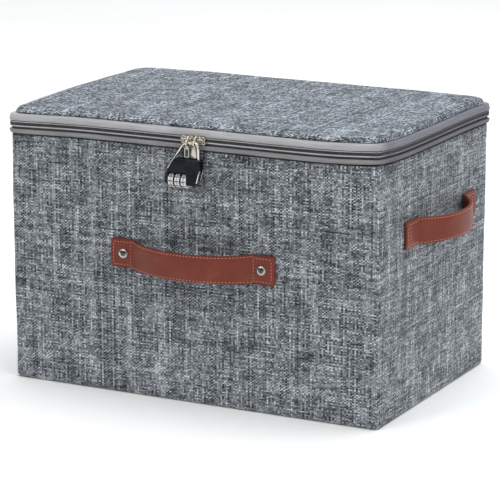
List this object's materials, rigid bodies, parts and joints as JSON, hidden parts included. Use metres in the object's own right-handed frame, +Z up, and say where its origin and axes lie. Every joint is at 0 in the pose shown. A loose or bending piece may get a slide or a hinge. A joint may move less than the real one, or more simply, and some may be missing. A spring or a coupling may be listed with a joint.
{
  "type": "zip-lidded document box",
  "caption": "Rectangular fabric-covered document box with a hinged zip lid, leather carry handles and a small combination padlock through the zip pulls.",
  "frame": {"origin": "centre of the underside of the box, on the surface it stands on", "axes": "+Z up, -Y towards the front with the padlock, +X to the right"},
  "size_m": [0.455, 0.2915, 0.279],
  "materials": {
    "fabric": "heathered grey linen weave, matt",
    "binding": "smooth light grey webbing",
    "zip_tape": "light grey woven tape",
    "zip_coil": "dark grey nylon coil",
    "board": "plain fibreboard",
    "insulation": "white glass-fibre felt",
    "lining": "silver-coated glass cloth",
    "foam": "thin white wadding",
    "leather": "red-brown leather with tan stitching",
    "rivet": "polished dome",
    "zip_metal": "pale nickel plate",
    "shackle_metal": "bright nickel plate",
    "lock_paint": "satin black enamel with a blue cast",
    "dial": "pale grey with plain raised ribs"
  },
  "bodies": {
    "box": {"body_cover": "fabric", "bottom_cover": "fabric", "front_board": "board", "back_board": "board", "left_board": "board", "right_board": "board", "base_board": "board", "insulation_felt": "insulation", "fire_resistant_lining": "lining", "base_insert": "lining", "lower_binding": "binding", "lower_zip_tape": "zip_tape", "lower_zip_coil": "zip_coil", "lower_hinge_leaf": "fabric", "front_handle_tab_a": "leather", "front_handle_tab_b": "leather", "front_handle_rivet_a": "rivet", "front_handle_rivet_b": "rivet", "front_handle_rivet_washer_a": "zip_metal", "front_handle_rivet_washer_b": "zip_metal", "right_handle_tab_a": "leather", "right_handle_tab_b": "leather", "left_handle_tab_a": "leather", "left_handle_tab_b": "leather"},
    "lid": {"lid_cover": "fabric", "lid_foam": "foam", "lid_board": "board", "lid_insulation": "insulation", "lid_lining": "lining", "upper_binding": "binding", "upper_zip_coil": "zip_coil", "upper_zip_tape": "zip_tape", "upper_hinge_leaf": "fabric"},
    "front_grip": {"front_handle_grip": "leather"},
    "right_grip": {"right_handle_grip": "leather"},
    "left_grip": {"left_handle_grip": "leather"},
    "left_slider": {"left_slider": "zip_metal"},
    "right_slider": {"right_slider": "zip_metal"},
    "left_pull": {"left_pull": "zip_metal"},
    "right_pull": {"right_pull": "zip_metal"},
    "shackle": {"shackle": "shackle_metal"},
    "bush": {"shackle_bush": "zip_metal"},
    "lock_case": {"lock_case_front": "lock_paint", "lock_case_back": "lock_paint", "lock_side_plate": "shackle_metal", "dial_spindle": "zip_metal"},
    "dial_1": {"dial_1": "dial"},
    "dial_2": {"dial_2": "dial"},
    "dial_3": {"dial_3": "dial"}
  },
  "joints": [
    {"name": "lid_hinge", "type": "hinge", "parent": "box", "child": "lid", "pos_m": [0, 0.1323, 0.2616], "axis": [-1, 0, 0], "range_deg": [0, 180]},
    {"name": "front_grip_swing", "type": "hinge", "parent": "box", "child": "front_grip", "pos_m": [0.004, -0.132, 0.1425], "axis": [-1, 0, 0], "range_deg": [-30, 30]},
    {"name": "right_grip_swing", "type": "hinge", "parent": "box", "child": "right_grip", "pos_m": [0.202, 0.008, 0.1765], "axis": [0, -1, 0], "range_deg": [-30, 30]},
    {"name": "left_grip_swing", "type": "hinge", "parent": "box", "child": "left_grip", "pos_m": [-0.202, 0.008, 0.1765], "axis": [0, 1, 0], "range_deg": [-30, 30]},
    {"name": "left_slider_travel", "type": "slide", "parent": "box", "child": "left_slider", "axis": [1, 0, 0], "range_m": [-0.14, 0.14]},
    {"name": "right_slider_travel", "type": "slide", "parent": "box", "child": "right_slider", "axis": [1, 0, 0], "range_m": [-0.14, 0.14]},
    {"name": "left_pull_swing", "type": "hinge", "parent": "left_slider", "child": "left_pull", "pos_m": [0.0033, -0.1368, 0.263], "axis": [-1, 0, 0], "range_deg": [0, 90]},
    {"name": "right_pull_swing", "type": "hinge", "parent": "right_slider", "child": "right_pull", "pos_m": [0.0111, -0.1368, 0.263], "axis": [-1, 0, 0], "range_deg": [0, 90]},
    {"name": "padlock_swing", "type": "hinge", "parent": "left_pull", "child": "shackle", "pos_m": [0.007, -0.1396, 0.2596], "axis": [-1, 0, 0], "range_deg": [0, 45]},
    {"name": "shackle_draw", "type": "slide", "parent": "shackle", "child": "bush", "axis": [0, 0, -1], "range_m": [0, 0.008]},
    {"name": "case_swivel", "type": "hinge", "parent": "bush", "child": "lock_case", "pos_m": [0.0154, -0.1396, 0.2413], "axis": [0, 0, 1], "range_deg": [0, 110]},
    {"name": "dial_1_turn", "type": "hinge", "parent": "lock_case", "child": "dial_1", "pos_m": [-0.0116, -0.1396, 0.2228], "axis": [1, 0, 0], "continuous": true},
    {"name": "dial_2_turn", "type": "hinge", "parent": "lock_case", "child": "dial_2", "pos_m": [-0.0047, -0.1396, 0.2228], "axis": [1, 0, 0], "continuous": true},
    {"name": "dial_3_turn", "type": "hinge", "parent": "lock_case", "child": "dial_3", "pos_m": [0.0022, -0.1396, 0.2228], "axis": [1, 0, 0], "continuous": true}
  ],
  "couplings": [
    {"joint": "right_slider_travel", "follows": "left_slider_travel", "ratio": 1},
    {"joint": "right_pull_swing", "follows": "left_pull_swing", "ratio": 1}
  ]
}
